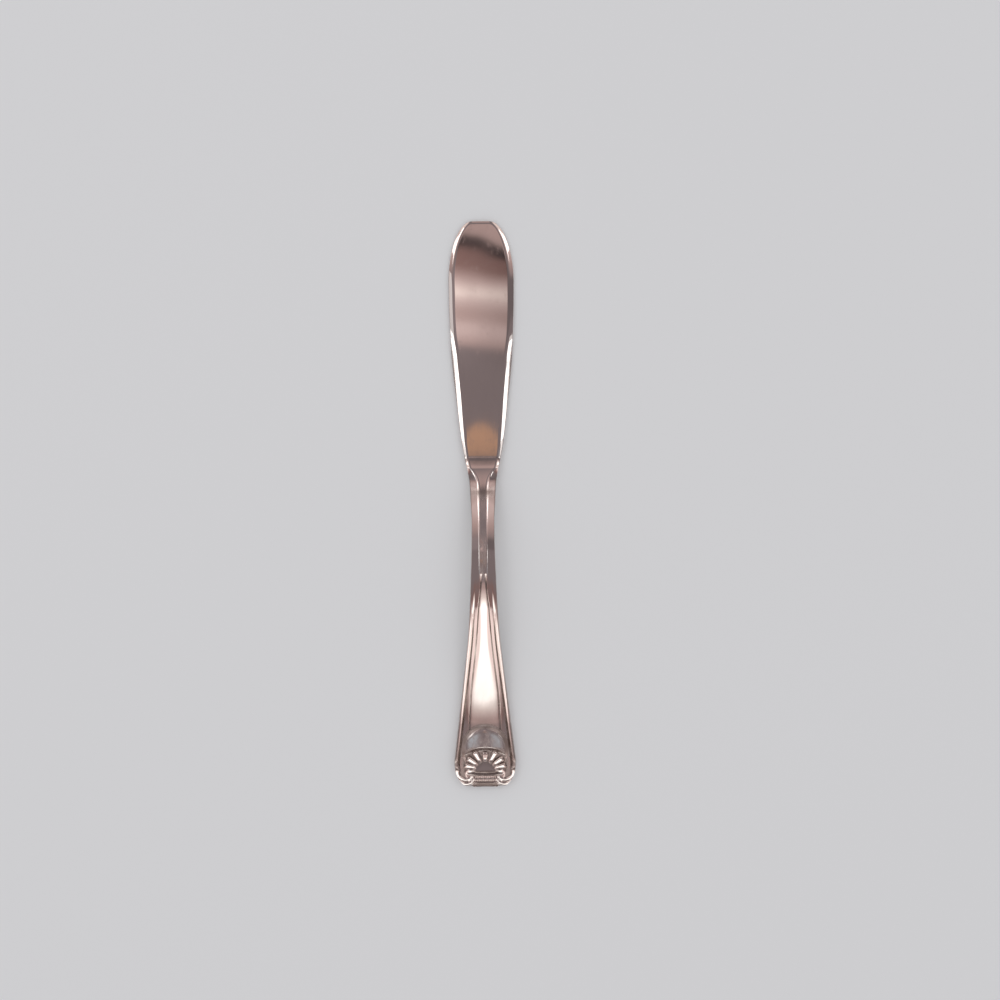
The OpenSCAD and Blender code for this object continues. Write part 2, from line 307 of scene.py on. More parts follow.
def thickness(y):
    if y > shoulderY:
        share = (y - shoulderY) / blank["bladeLength"]
        even, faster = blank["thinning"]
        return blank["heelThickness"] - even * share - faster * share ** 2
    if y > rampEndY:
        return mix(blank["heelThickness"], blank["rampThickness"], ramp(shoulderY, rampEndY, y) ** 2)
    if y > waistY:
        return mix(blank["neckThickness"], blank["rampThickness"], ramp(waistY, rampEndY, y) ** 2)
    return mix(blank["handleThickness"], blank["neckThickness"], ease(landingY, waistY, y))


# How far a point lies in from the outline, and how much the edge there faces sideways
def insetOf(x, y):
    side = abs(x)
    if y > bellyY:
        flat, wide, long = blank["tipFlat"] / 2, blank["bladeWidth"] / 2, blank["tipLength"]
        v = y - bellyY
    elif y < widestY:
        flat, wide, long = blank["endFlat"] / 2, blank["handleWidth"] / 2, blank["endLength"]
        v = widestY - y
    else:
        step = 0.2
        slope = (halfWidth(y + step) - halfWidth(y - step)) / (2 * step)
        return (halfWidth(y) - side) / math.sqrt(1 + slope * slope), 1
    u = max(side - flat, 0)
    wide -= flat
    reach = math.hypot(u / wide, v / long)
    if reach < 0.3:                                # well inside
        return min(wide - u, long), 1
    gradient = math.hypot(u / wide ** 2, v / long ** 2) / reach
    return max(1 - reach, 0) / gradient, u / wide ** 2 / (gradient * reach)


def rounded(inset, radius):
    if inset >= radius:
        return 0
    return radius - math.sqrt(max(radius ** 2 - (radius - inset) ** 2, 0))


def bladeFace(x, y):
    inset, sideways = insetOf(x, y)
    top = thickness(y)
    within = halfBevel(y) * mix(blank["endBevelShare"], 1, sideways ** blank["endBevelTurn"]) - inset
    fall = blank["bevelSlope"] * within + blank["bevelCrown"] * max(within, 0) ** 2
    return softMin(top, top - fall, blank["bevelRound"]) - rounded(inset, blank["bladeEdgeRound"])


def groove(share):
    return math.sin(math.pi * share) ** 2


# Where the top facet of the neck or the groove beside the panel ends
def innerFoot(y):
    gap = blank["grooveWidth"]
    outermost = halfWidth(y) - blank["threadWidth"] - 2 * gap
    return max(blank["facetWidth"] / 2, min(halfPanel(y) + gap, outermost))


def handleFace(x, y):
    side = abs(x)
    width = halfWidth(y)
    inset, sideways = insetOf(x, y)
    thread, gap, narrowest = blank["threadWidth"], blank["grooveWidth"], blank["narrowest"]
    q = innerFoot(y)
    p = min(halfPanel(y), q - gap)
    neck = ease(mix(panelY, domeY, blank["facetFade"]), panelY, y)
    clear = ease(domeY, domeY + shell["domeRadius"] / 2, y)
    top = thickness(y) - blank["borderFall"] * (1 - clear)
    fall = mix(blank["borderFall"] * clear, blank["facetFall"], neck)
    foot = mix(width - thread - gap, width, neck)
    flat = ramp(veeEndY, rampEndY, y) ** 2
    if flat > 0:                                   # the V-shaped flat below the ramp
        heelWidth = blank["bevelHeelWidth"]
        turned = ease(veeEndY, mix(veeEndY, rampEndY, blank["veeSteepShare"]), y)
        steep = fall / max(foot - q, narrowest) * mix(1, blank["veeSteepness"], turned)
        q = mix(q, width - heelWidth, flat)
        p = q - gap
        fall = mix(steep, blank["bevelSlope"] + blank["bevelCrown"] * heelWidth, flat ** 5) * (foot - q)
    face = top
    if side < p:
        face += blank["panelCrown"] * clear * (1 - neck) * (1 - (side / p) ** 2)
    elif side < q:
        depth = blank["grooveDepth"] * ramp(panelY, panelY - blank["grooveRun"], y)
        face -= depth * ease(domeY + shell["domeRadius"] / 2, landingY, y) * groove((side - p) / (q - p))
    slant = fall / max(foot - q, narrowest)
    above = blank["facetRoundFrom"]
    crease = mix(blank["creaseRound"], blank["facetRound"], ease(panelY + above, waistY + above, y))
    face = softMin(face, top - slant * (side - q), crease * slant) if fall > 0.01 else face
    face = max(face, top - fall)
    moulding = ease(scrollY, scrollY + scroll["radius"], y) * (1 - neck)
    within = min(inset, width - side)
    if within < thread:
        across = max(within / thread, 0)
        face += blank["threadHeight"] * moulding * (4 * across * (1 - across)) ** blank["threadFullness"]
    elif within < thread + gap:
        face -= blank["grooveDepth"] * moulding * groove((within - thread) / gap)
    edge = blank["handleEdgeRound"]
    if y < widestY:
        edge = mix(blank["handleEndRound"], edge, sideways)
    return face - rounded(inset, mix(edge, blank["bladeEdgeRound"], ramp(veeEndY, rampEndY, y)))


def faceHeight(x, y):
    return underside(y) + (bladeFace(x, y) if y > rampEndY else handleFace(x, y))


# Both ends of the sheet have rows by angle, because the outline turns there
def rowPlaces():
    rows = []
    turn = 0
    while blank["endLength"] * (1 - math.cos(turn)) < sheet["roundedEnd"]:
        rows.append(blank["endLength"] * (1 - math.cos(turn)) - halfLength)
        turn += math.radians(sheet["angleStep"])
    for end, step in rowRuns:
        start = rows[-1]
        count = math.ceil((end - start) / step)
        rows.extend(mix(start, end, (k + 1) / count) for k in range(count))
    steps = round(90 / sheet["angleStep"])
    rows.extend(bellyY + blank["tipLength"] * math.sin(math.pi / 2 * (k + 1) / steps) for k in range(steps))
    return rows


# The columns follow the bevels on the blade, and panel, groove, border and thread on the handle
def columnKeys(y):
    width = halfWidth(y)
    bevel = min(halfBevel(y), width / 2)
    gap = sheet["keyGap"]
    nearEdge = width - gap * sheet["edgeKeyGap"]
    bladeKeys = [0, width - bevel - gap, width - bevel + gap, width - bevel / 2, nearEdge, width]
    q = innerFoot(y)
    p = q - blank["grooveWidth"] * mix(1, sheet["pointSpread"], riseAndFall(sheet["pointRun"], y - panelY))
    thread = width - blank["threadWidth"]
    handleKeys = [0, p, q, max(thread - blank["grooveWidth"], q + sheet["leastBorder"]), thread, width]
    even = [0]
    for count in sheet["columnCounts"]:
        even.append(even[-1] + width * count / sum(sheet["columnCounts"]))
    toEven = ease(*sheet["evenRun"], y - landingY)
    toBlade = ramp(veeEndY, rampEndY, y) ** 2
    keys = [mix(a, b, toEven) for a, b in zip(handleKeys, even)]
    return [mix(a, b, toBlade) for a, b in zip(keys, bladeKeys)]


def columnPlaces(y):
    keys = columnKeys(y)
    half = []
    for k, count in enumerate(sheet["columnCounts"]):
        half.extend(mix(keys[k], keys[k + 1], (i + 1) / count) for i in range(count))
    return [-x for x in reversed(half)] + [0] + half


def deselectAll():
    for item in bpy.context.view_layer.objects:
        item.select_set(False)


def makeActive(item):
    deselectAll()
    item.select_set(True)
    bpy.context.view_layer.objects.active = item


def applyModifier(item, modifier):
    makeActive(item)
    bpy.ops.object.modifier_apply(modifier=modifier.name)


def applyPlace(item):
    makeActive(item)
    bpy.ops.object.transform_apply(location=True, rotation=True, scale=True)


# The face of the knife as one sheet, before the dies strike the shell end
def makeSheet():
    rows = rowPlaces()
    columns = 2 * sum(sheet["columnCounts"])
    deselectAll()
    bpy.ops.mesh.primitive_grid_add(x_subdivisions=columns, y_subdivisions=len(rows) - 1, size=2)
    face = bpy.context.object
    face.name = "butterKnife"
    points = {}
    for point in face.data.vertices:
        row = round((point.co.y + 1) / 2 * (len(rows) - 1))
        column = round((point.co.x + 1) / 2 * columns)
        points[point.index] = (row, column)
    across = [columnPlaces(y) for y in rows]
    for index, (row, column) in points.items():
        x, y = across[row][column], rows[row]
        face.data.vertices[index].co = (x * mm, y * mm, faceHeight(x, y) * mm)
    face.data.update()
    print("sheet:", len(rows), "rows,", columns + 1, "columns")
    return face, points, len(rows), columns + 1


def strike(face, die, upwards=True):
    press = face.modifiers.new("press", "SHRINKWRAP")
    press.wrap_method = "PROJECT"
    press.target = die
    press.use_project_z = True
    press.use_positive_direction = upwards
    press.use_negative_direction = not upwards
    applyModifier(face, press)
    bpy.data.objects.remove(die)


def joined(items):
    makeActive(items[0])
    for item in items:
        item.select_set(True)
    bpy.ops.object.join()
    return bpy.context.object


def addBall(x, y, z, size, segments=32, rings=20):
    deselectAll()
    bpy.ops.mesh.primitive_uv_sphere_add(segments=segments, ring_count=rings, radius=0.5,
                                         location=(x * mm, y * mm, z * mm))
    ball = bpy.context.object
    ball.scale = Vector(size) * mm
    applyPlace(ball)
    return ball


# A ball pulled out so that each point's height follows from its distance to the middle
def pulledBall(x, y, radius, above, below):
    ball = addBall(0, 0, 0, (2, 2, 2), 96, 64)
    for point in ball.data.vertices:
        across, along, up = point.co / mm
        reach = min(math.hypot(across, along), 1) * radius
        height = above(reach, up) if up > 0 else below(reach, up)
        point.co = Vector((x + radius * across, y + radius * along, plateTop + height)) * mm
    return ball


def makeDome():
    radius, height = shell["domeRadius"], shell["domeHeight"]
    dome = pulledBall(
        0, domeY, radius,
        lambda reach, up: height * (1 - (reach / radius) ** shell["domeRim"]),
        lambda reach, up: up * plateTop / 2,
    )
    for point in dome.data.vertices:
        x, y, z = point.co / mm
        rise = max(z - plateTop, 0)
        change = shell["domeTilt"] * (y - domeY) / height - shell["domeSides"] * (x / radius) ** 2
        point.co.z = (z + rise * change) * mm
    return dome


# What is pressed in round the flutes: a level floor that curves up to the top of the dome
def makeHollow():
    beyond, over = shell["hollowSpare"]
    radius, top = shell["hollowRadius"], shell["domeHeight"] + over
    hollow = pulledBall(
        0, hingeY, radius + beyond,
        lambda reach, up: top + up,
        lambda reach, up: mix(shell["floorHeight"], top,
                              ramp(shell["floorRadius"], radius, reach) ** shell["hollowWall"]),
    )
    for point in hollow.data.vertices:
        point.co.x *= shell["hollowStretch"]
    return hollow


# The low cone that carries the flutes, which ends just below the hinge
def makeFan():
    radius, rim, floor = shell["fanRadius"], shell["fanRim"], shell["floorHeight"]
    fan = pulledBall(
        0, hingeY, radius,
        lambda reach, up: mix(shell["fanHeight"], floor, ramp(shell["fanFlat"], radius, reach))
        * ease(radius, radius - rim, reach),
        lambda reach, up: up * plateTop / 2,
    )
    for point in fan.data.vertices:
        rise = point.co.z / mm - plateTop
        below = hingeY - point.co.y / mm
        if rise > 0:
            rise += shell["fanTilt"] * below
            gone = ramp(*shell["fanEnd"], below + shell["fanEndBow"] * (point.co.x / mm) ** 2)
            point.co.z = (plateTop + mix(rise, min(rise, floor), gone)) * mm
    return fan


# A flute is a long drop: a straight ridge with a flattened top, wider at its outer end
def makeFlute(angle, reach, tilt):
    start = shell["fluteStart"]
    flute = addBall(0, 0, 0, (1, 1, 1), 32, 28)
    for point in flute.data.vertices:
        x, y, z = (2 * v / mm for v in point.co)
        ring = math.sqrt(max(1 - y ** 2, 0.000001))    # how wide the ball is there
        share = (y + 1) / 2
        along = mix(start, reach, share)
        up = math.sqrt(max(1 - y ** 6, 0) * max(1 - (x / ring) ** 4, 0))
        x *= math.sqrt(1 + y ** 2 + y ** 4) * shell["fluteWidth"] / 2 * mix(shell["fluteNarrow"], 1, share)
        across = x * math.cos(angle) + along * math.sin(angle)
        above = along * math.cos(angle) - x * math.sin(angle)
        height = shell["fluteHeight"] * math.copysign(up, z) + tilt * above
        point.co = Vector((across, hingeY + above, plateTop + height)) * mm
    return flute


# A scroll is a small round bar spun about its own middle, opening and thickening towards the thread
def makeScroll(side, y, radius, opening, start, end):
    total = math.radians(end - start)
    middle = Vector((-scroll["x"], y, 0))
    deselectAll()
    bpy.ops.mesh.primitive_circle_add(vertices=scroll["barSides"], radius=0.5, location=(0, 0, 0))
    bar = bpy.context.object
    bar.rotation_euler = (math.pi / 2, 0, 0)
    applyPlace(bar)
    for point in bar.data.vertices:
        up = math.copysign(math.sqrt(max(1 - (2 * point.co.x) ** 4, 0)), point.co.z)
        point.co = Vector((
            middle.x + radius + point.co.x * scroll["width"],
            middle.y,
            plateTop + up * scroll["height"],
        )) * mm
    bpy.ops.object.mode_set(mode="EDIT")
    bpy.ops.mesh.select_all(action="SELECT")
    bpy.ops.mesh.spin(steps=scroll["steps"], angle=total, center=middle * mm, axis=(0, 0, 1))
    bpy.ops.object.mode_set(mode="OBJECT")
    for point in bar.data.vertices:
        out, along, height = point.co / mm - middle
        share = abs(math.atan2(along, out)) / total
        away = math.hypot(out, along) - radius
        angle = math.radians(start) + share * total
        reach = radius * mix(opening, 1, share) + away * mix(1, scroll["taper"], share)
        out, along = reach * math.cos(angle), reach * math.sin(angle)
        height += scroll["tilt"] * along
        point.co = Vector((side * (middle.x + out), middle.y + along, height)) * mm
    return bar


def makeBeads():
    pitch = band["width"] / band["beads"]
    top = plateTop + band["height"]
    first = addBall(-pitch * (band["beads"] - 1) / 2, bandY, top - band["beadHeight"],
                    (pitch * band["beadFill"], band["beadLength"], 4 * band["beadHeight"]), 20, 14)
    beads = [first]
    for k in range(1, band["beads"]):
        bead = first.copy()
        bead.data = first.data.copy()
        bpy.context.collection.objects.link(bead)
        bead.data.transform(Matrix.Translation((k * pitch * mm, 0, 0)))
        beads.append(bead)
    return joined(beads)


def makeBandRoll():
    middle = plateTop - band["sunk"]
    roll = addBall(0, bandY, middle, (1, 1, 1), 48, 32)
    for point in roll.data.vertices:
        x, y, z = point.co / mm
        point.co = Vector((
            band["width"] * band["halfShare"] * math.copysign(abs(2 * x) ** band["squareness"], x),
            bandY + band["length"] * (y - bandY),
            middle + 2 * (band["height"] + band["sunk"]) * (z - middle),
        )) * mm
    return roll


face, points, rowCount, columnCount = makeSheet()
strike(face, makeDome())
strike(face, makeHollow(), False)
strike(face, makeFan())
print("shell struck")
flutes = []
for angle, reach, tilt in zip(shell["fluteAngles"], shell["fluteReach"], shell["fluteTilt"]):
    for side in (-1, 1) if angle else (1,):
        flutes.append(makeFlute(side * math.radians(angle), reach, tilt))
strike(face, joined(flutes))
for side in (1, -1):
    strike(face, makeScroll(side, scrollY - scroll["outerDrop"], scroll["outerRadius"], 1,
                            scroll["outerStart"], scroll["outerEnd"]))
    strike(face, makeScroll(side, scrollY, scroll["radius"], scroll["opening"],
                            scroll["startAngle"], scroll["endAngle"]))
strike(face, makeBandRoll())
strike(face, makeBeads())
print("scrolls and beads struck")


# One light pass softens what the dies left sharp, in height only
def softenEnd(face):
    makeActive(face)
    bpy.ops.object.mode_set(mode="EDIT")
    bpy.ops.mesh.select_mode(type="VERT")
    bpy.ops.mesh.select_all(action="DESELECT")
    bpy.ops.object.mode_set(mode="OBJECT")
    for point in face.data.vertices:
        point.select = point.co.y < (landingY + sheet["softened"]) * mm
    bpy.ops.object.mode_set(mode="EDIT")
    bpy.ops.mesh.vertices_smooth(factor=0.5, repeat=1, xaxis=False, yaxis=False, zaxis=True)
    bpy.ops.object.mode_set(mode="OBJECT")


# Where tarnish has stayed in the hollows, where painted shade lies under the band and fan, round the flute
# ends, on the dome's rim and on the threads beside the shell, and where the shine has gone: in mm, but the
# dome's in shares of its radius
wearAndShade = {
    "hollowPasses": ((24, 0.12), (120, 0.18)),   # how often it is smoothed, and what then counts as deep
    # painted shade: these darken the strip under the band, the ground between band and hinge, round the
    # flute ends, the dome's rim and the threads
    "underBand": (0.3, -1.1),    # from the middle of the band
    "underBandSides": (4.0, 3.1),
    "overBand": (1.1, 1.4),
    "underHinge": (0.1, -0.3),
    "underHingeSides": (4.0, 3.3),
    "fluteEnds": (4.9, 5.4, 6.1, 6.7),           # from the hinge
    "fluteEndsUp": (0, 2),
    "fluteEndsLow": (1, 0.75),   # only what lies low there, over the plate
    "fluteEndsShare": 0.8,
    "domeRim": (0.8, 0.87, 1.01, 1.08),
    "domeRimUp": (-4, -2),
    "threadSides": (6.7, 7.2),
    "threadUp": (12, 6),         # from the middle of the dome
    "threadDown": (-0.8, 0.4),   # from the hinge
    "threadShare": 0.75,
    "neckSides": (1.5, 0.9),
    "neckUp": (2, 6),            # past the V-shaped flat, and past the waist
    "neckDown": (-3, 0),         # from the point of the panel
    "domeEdge": (1.15, 1.02),    # on the side of the shell, and of the blade
    "domeFade": 0.08,
    "domeOver": (5.3, 5.8),      # from the hinge
}


# How deep each point lies below its surroundings, for the tarnish that stays in hollows
def hollowDepths(face, points, rowCount, columnCount):
    heights = numpy.zeros((rowCount, columnCount))
    for index, (row, column) in points.items():
        heights[row, column] = face.data.vertices[index].co.z / mm
    around = heights.copy()
    deep = numpy.zeros_like(heights)
    for repeats, depth in wearAndShade["hollowPasses"]:
        for repeat in range(repeats):
            padded = numpy.pad(around, 1, mode="edge")
            around = (padded[:-2, 1:-1] + padded[2:, 1:-1] + padded[1:-1, :-2] + padded[1:-1, 2:]) / 4
        deep = numpy.maximum(deep, numpy.clip((around - heights) / depth, 0, 1))
    return {index: float(deep[place]) for index, place in points.items()}


softenEnd(face)
hollows = hollowDepths(face, points, rowCount, columnCount)


def pickOpenEdges():
    bpy.ops.mesh.select_all(action="DESELECT")
    bpy.ops.mesh.select_non_manifold(extend=False, use_wire=False, use_multi_face=False,
                                     use_non_contiguous=False, use_verts=False)


def nearest(spots):
    tree = kdtree.KDTree(len(spots))
    for k, spot in enumerate(spots):
        tree.insert((spot.x, spot.y, 0), k)
    tree.balance()
    return tree


# The sides come down from the outline, round in under the knife, and the underside is bridged across
def closeUnderneath(face, points, rowCount, columnCount):
    places = {place: index for index, place in points.items()}
    lastRow, lastColumn = rowCount - 1, columnCount - 1
    loop = [(0, c) for c in range(columnCount)]
    loop += [(r, lastColumn) for r in range(1, rowCount)]
    loop += [(lastRow, c) for c in range(lastColumn - 1, -1, -1)]
    loop += [(r, 0) for r in range(lastRow - 1, 0, -1)]
    outline = [face.data.vertices[places[place]].co / mm for place in loop]
    inward = []
    for k, point in enumerate(outline):
        ahead = outline[(k + 1) % len(outline)] - outline[k - 1]
        inward.append(Vector((-ahead.y, ahead.x, 0)).normalized())
    rings = [(0, 1)]                               # how far in and how high, in radii
    for angle in blank["underRings"]:
        rings.append((1 - math.cos(math.radians(angle)), 1 - math.sin(math.radians(angle))))
    rings.append((blank["underFlatRing"], 0))
    makeActive(face)
    bpy.ops.object.mode_set(mode="EDIT")
    bpy.ops.mesh.select_mode(type="EDGE")
    pickOpenEdges()
    last = nearest(outline)
    for inset, rise in rings:
        bpy.ops.mesh.extrude_edges_move(TRANSFORM_OT_translate={"value": (0, 0, -0.01 * mm)})
        work = bmesh.from_edit_mesh(face.data)
        moved = list(outline)
        for point in work.verts:
            if point.select:
                k = last.find((point.co.x / mm, point.co.y / mm, 0))[1]
                edge = outline[k]
                radius = min(blank["underRound"], (edge.z - underside(edge.y)) * blank["underRoundShare"])
                spot = edge + inward[k] * inset * radius
                spot.z = underside(spot.y) + rise * radius
                point.co = spot * mm
                moved[k] = spot
        last = nearest(moved)
        bmesh.update_edit_mesh(face.data)
    bpy.ops.mesh.select_all(action="DESELECT")
    work = bmesh.from_edit_mesh(face.data)
    farSide = lastColumn + lastRow + lastColumn    # where the last side of the loop begins
    sides = [set(range(lastColumn + 1, lastColumn + lastRow)), set(range(farSide + 1, len(loop)))]
    for edge in work.edges:
        if edge.is_boundary:
            ends = [last.find((v.co.x / mm, v.co.y / mm, 0))[1] for v in edge.verts]
            edge.select = any(all(k in side for k in ends) for side in sides)
    bmesh.update_edit_mesh(face.data)
    bpy.ops.mesh.bridge_edge_loops()
    pickOpenEdges()
    bpy.ops.mesh.edge_face_add()
    bpy.ops.mesh.select_all(action="SELECT")
    bpy.ops.mesh.normals_make_consistent(inside=False)
    bpy.ops.mesh.select_all(action="DESELECT")
    bpy.ops.object.mode_set(mode="OBJECT")


# Tarnish where the surface lies deep, joined by painted shade on the strip under the band, the ground
# between band and hinge, round the flute ends, on the dome's rim and on the threads beside the shell
def tarnishAndShadeAt(x, y, z, depth):
    side = abs(x)
    fromHinge = math.hypot(x / shell["hollowStretch"], y - hingeY)
    fromDome = math.hypot(x, y - domeY) / shell["domeRadius"]
    underBand = ease(*wearAndShade["underBand"], y - bandY) * ease(*wearAndShade["underBandSides"], side)
    underFan = ease(*wearAndShade["overBand"], y - bandY) * ease(*wearAndShade["underHinge"], y - hingeY)
    underFan *= ease(*wearAndShade["underHingeSides"], side)
    fluteEnds = riseAndFall(wearAndShade["fluteEnds"], fromHinge) * ease(*wearAndShade["fluteEndsUp"], y - hingeY)
    fluteEnds *= ease(*wearAndShade["fluteEndsLow"], z - plateTop) * wearAndShade["fluteEndsShare"]
    onRim = riseAndFall(wearAndShade["domeRim"], fromDome) * ease(*wearAndShade["domeRimUp"], y - domeY)
    onThread = ease(*wearAndShade["threadSides"], side) * ease(*wearAndShade["threadUp"], y - domeY)
    onThread *= ease(*wearAndShade["threadDown"], y - hingeY) * wearAndShade["threadShare"]
    return max(depth, underBand, underFan, fluteEnds, onRim, onThread)


# The top of the neck and the dome have gone dull
def dullAt(x, y):
    pastVee, pastWaist = wearAndShade["neckUp"]
    onNeck = ease(*wearAndShade["neckSides"], abs(x)) * ease(veeEndY + pastVee, waistY + pastWaist, y)
    onNeck *= ease(*wearAndShade["neckDown"], y - panelY)
    edge = wearAndShade["domeEdge"][0 if y < domeY else 1]
    onDome = ease(edge, edge - wearAndShade["domeFade"], math.hypot(x, y - domeY) / shell["domeRadius"])
    onDome *= ease(*wearAndShade["domeOver"], math.hypot(x / shell["hollowStretch"], y - hingeY))
    return max(onNeck, onDome)


closeUnderneath(face, points, rowCount, columnCount)
# This attribute holds tarnish in the hollows with painted shade added over the shell end
tarnishedAndShaded = face.data.attributes.new("tarnishedAndShaded", "FLOAT", "POINT")
for index, depth in hollows.items():
    tarnishedAndShaded.data[index].value = tarnishAndShadeAt(*face.data.vertices[index].co / mm, depth)
dull = face.data.attributes.new("dull", "FLOAT", "POINT")
for index, point in enumerate(face.data.vertices):
    dull.data[index].value = dullAt(point.co.x / mm, point.co.y / mm)
makeActive(face)
bpy.ops.object.shade_smooth_by_angle(angle=math.radians(35))
print("knife closed:", len(face.data.polygons), "faces")


# Gives a socket a plain value or joins it to what another node puts out
def feed(tree, socket, value):
    if isinstance(value, tuple):
        socket.default_value = (*value, 1)
    elif isinstance(value, (int, float)):
        socket.default_value = value
    else:
        tree.links.new(value, socket)


def calculate(tree, kind, a, b=0):
    step = tree.nodes.new("ShaderNodeMath")
    step.operation = kind
    feed(tree, step.inputs[0], a)
    feed(tree, step.inputs[1], b)
    return step.outputs[0]


def blended(tree, share, a, b, kind="MIX"):
    mixer = tree.nodes.new("ShaderNodeMix")
    mixer.data_type = "RGBA"
    mixer.blend_type = kind
    for name, value in (("Factor", share), ("A", a), ("B", b)):
        feed(tree, mixer.inputs[name], value)
    return mixer.outputs["Result"]


def fitted(tree, source, fromRange, toRange=(0, 1), kind="LINEAR"):
    fit = tree.nodes.new("ShaderNodeMapRange")
    fit.interpolation_type = kind
    fit.inputs["From Min"].default_value, fit.inputs["From Max"].default_value = fromRange
    fit.inputs["To Min"].default_value, fit.inputs["To Max"].default_value = toRange
    tree.links.new(source, fit.inputs["Value"])
    return fit.outputs["Result"]


silver = {
    "colour": (0.90, 0.86, 0.825),
    "lighter": 1.02,             # the haze goes from this to the next, times the colour
    "deeper": 0.95,
    # dark brown for tarnish, also laid on as painted shade
    "tarnishAndShadeColour": (0.22, 0.17, 0.15),
    "tarnishAndShadeShare": 0.85,
    "roughness": (0.025, 0.045),
    "tarnishAndShadeRoughness": 0.3,
    "dullRoughness": 0.17,
    "hairlineRoughness": 0.05,
    "scratchHeight": 0.0000006,
    # each pattern's scale, stretch, detail and roughness
    "patches": (240, (1, 0.6, 1), 4, 0.55),
    "haze": (60, (1, 0.5, 1), 5, 0.6),
    "mottle": (900, (1, 0.5, 1), 3, 0.55),
    "brushed": (900, (1, 0.03, 1), 3, 0.6),
    "hairlineGaps": (500, (1, 1, 1), 2, 0.55),
    "hairlines": ((190, 0.12), (150, -0.5), (120, 1.2)),   # the scale and turn of each set
    "hairlineLook": ((6, 0.35, 1), 2, 0.5),
    "hairlineWidth": 0.006,
    # what part of a pattern's range is used, and what it becomes
    "patchRange": ((0.3, 0.6), (0.6, 1)),
    "mottleRange": ((0.35, 0.6), (0.3, 1)),
    "gapRange": ((0.52, 0.6), (0, 1)),
    "hazeColourRange": (0.35, 0.65),
    "hazeRoughRange": (0.35, 0.68),
    "relief": 0.35,              # of the brush marks, and as deep the hairlines
}


def polishedSilver():
    material = bpy.data.materials.new("wornSilverPlate")
    material.use_nodes = True
    tree = material.node_tree
    nodes, links = tree.nodes, tree.links
    nodes.clear()
    output = nodes.new("ShaderNodeOutputMaterial")
    shader = nodes.new("ShaderNodeBsdfPrincipled")
    shader.inputs["Metallic"].default_value = 1
    links.new(shader.outputs["BSDF"], output.inputs["Surface"])
    place = nodes.new("ShaderNodeTexCoord")

    def pattern(scale, stretch, detail, roughness, turn=0):
        mapping = nodes.new("ShaderNodeMapping")
        mapping.inputs["Scale"].default_value = stretch
        mapping.inputs["Rotation"].default_value = (0, 0, turn)
        links.new(place.outputs["Object"], mapping.inputs["Vector"])
        texture = nodes.new("ShaderNodeTexNoise")
        texture.inputs["Scale"].default_value = scale
        texture.inputs["Detail"].default_value = detail
        texture.inputs["Roughness"].default_value = roughness
        links.new(mapping.outputs["Vector"], texture.inputs["Vector"])
        return texture.outputs["Fac"]

    def times(a, b):
        return calculate(tree, "MULTIPLY", a, b)

    def plus(a, b):
        return calculate(tree, "ADD", a, b)

    def painted(name):
        attribute = nodes.new("ShaderNodeAttribute")
        attribute.attribute_name = name
        return attribute.outputs["Fac"]

    haze = pattern(*silver["haze"])
    # hairline marks: thin places where a long stretched pattern passes its middle value
    hairlines = 0
    for scale, turn in silver["hairlines"]:
        line = pattern(scale, *silver["hairlineLook"], turn)
        away = calculate(tree, "ABSOLUTE", calculate(tree, "SUBTRACT", line, 0.5))
        mark = fitted(tree, away, (0, silver["hairlineWidth"]), (1, 0))
        hairlines = calculate(tree, "MAXIMUM", hairlines, mark)
    hairlines = times(hairlines, fitted(tree, pattern(*silver["hairlineGaps"]), *silver["gapRange"]))

    # tarnish and painted shade: the dark brown laid where the attribute says, broken up by patches
    shadeAndTarnish = times(painted("tarnishedAndShaded"), fitted(tree, pattern(*silver["patches"]), *silver["patchRange"]))
    shadeAndTarnish = times(shadeAndTarnish, silver["tarnishAndShadeShare"])
    mottled = times(painted("dull"), fitted(tree, pattern(*silver["mottle"]), *silver["mottleRange"]))
    light = tuple(min(c * silver["lighter"], 1) for c in silver["colour"])
    deep = tuple(c * silver["deeper"] for c in silver["colour"])
    clean = blended(tree, fitted(tree, haze, silver["hazeColourRange"]), light, deep)
    links.new(blended(tree, shadeAndTarnish, clean, silver["tarnishAndShadeColour"]), shader.inputs["Base Color"])

    rough = fitted(tree, haze, silver["hazeRoughRange"], silver["roughness"])
    rough = plus(rough, times(hairlines, silver["hairlineRoughness"]))
    rough = plus(rough, times(shadeAndTarnish, silver["tarnishAndShadeRoughness"]))
    rough = plus(rough, times(mottled, silver["dullRoughness"]))
    links.new(rough, shader.inputs["Roughness"])

    relief = plus(times(pattern(*silver["brushed"]), silver["relief"]), times(hairlines, -silver["relief"]))
    bump = nodes.new("ShaderNodeBump")
    bump.inputs["Strength"].default_value = 1
    bump.inputs["Distance"].default_value = silver["scratchHeight"]
    links.new(relief, bump.inputs["Height"])
    links.new(bump.outputs["Normal"], shader.inputs["Normal"])
    return material


face.data.materials.clear()
face.data.materials.append(polishedSilver())
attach(face, "root")
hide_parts("butter_spreader")
print("silver finished")

table = {
    "size": 2.4,
    "gap": 0.00005,              # keeps its top and the knife's underside from sharing one plane
    "colour": (0.78, 0.78, 0.79),
    "roughness": 0.8,
    "shine": 0.1,
}


def makeTable():
    deselectAll()
    bpy.ops.mesh.primitive_plane_add(size=table["size"], location=(0, 0, -table["gap"]))
    top = bpy.context.object
    top.name = "paleTable"
    applyPlace(top)
    material = bpy.data.materials.new("palePaper")
    material.use_nodes = True
    shader = material.node_tree.nodes["Principled BSDF"]
    shader.inputs["Roughness"].default_value = table["roughness"]
    shader.inputs["Specular IOR Level"].default_value = table["shine"]
    shader.inputs["Base Color"].default_value = (*table["colour"], 1)
    top.data.materials.append(material)


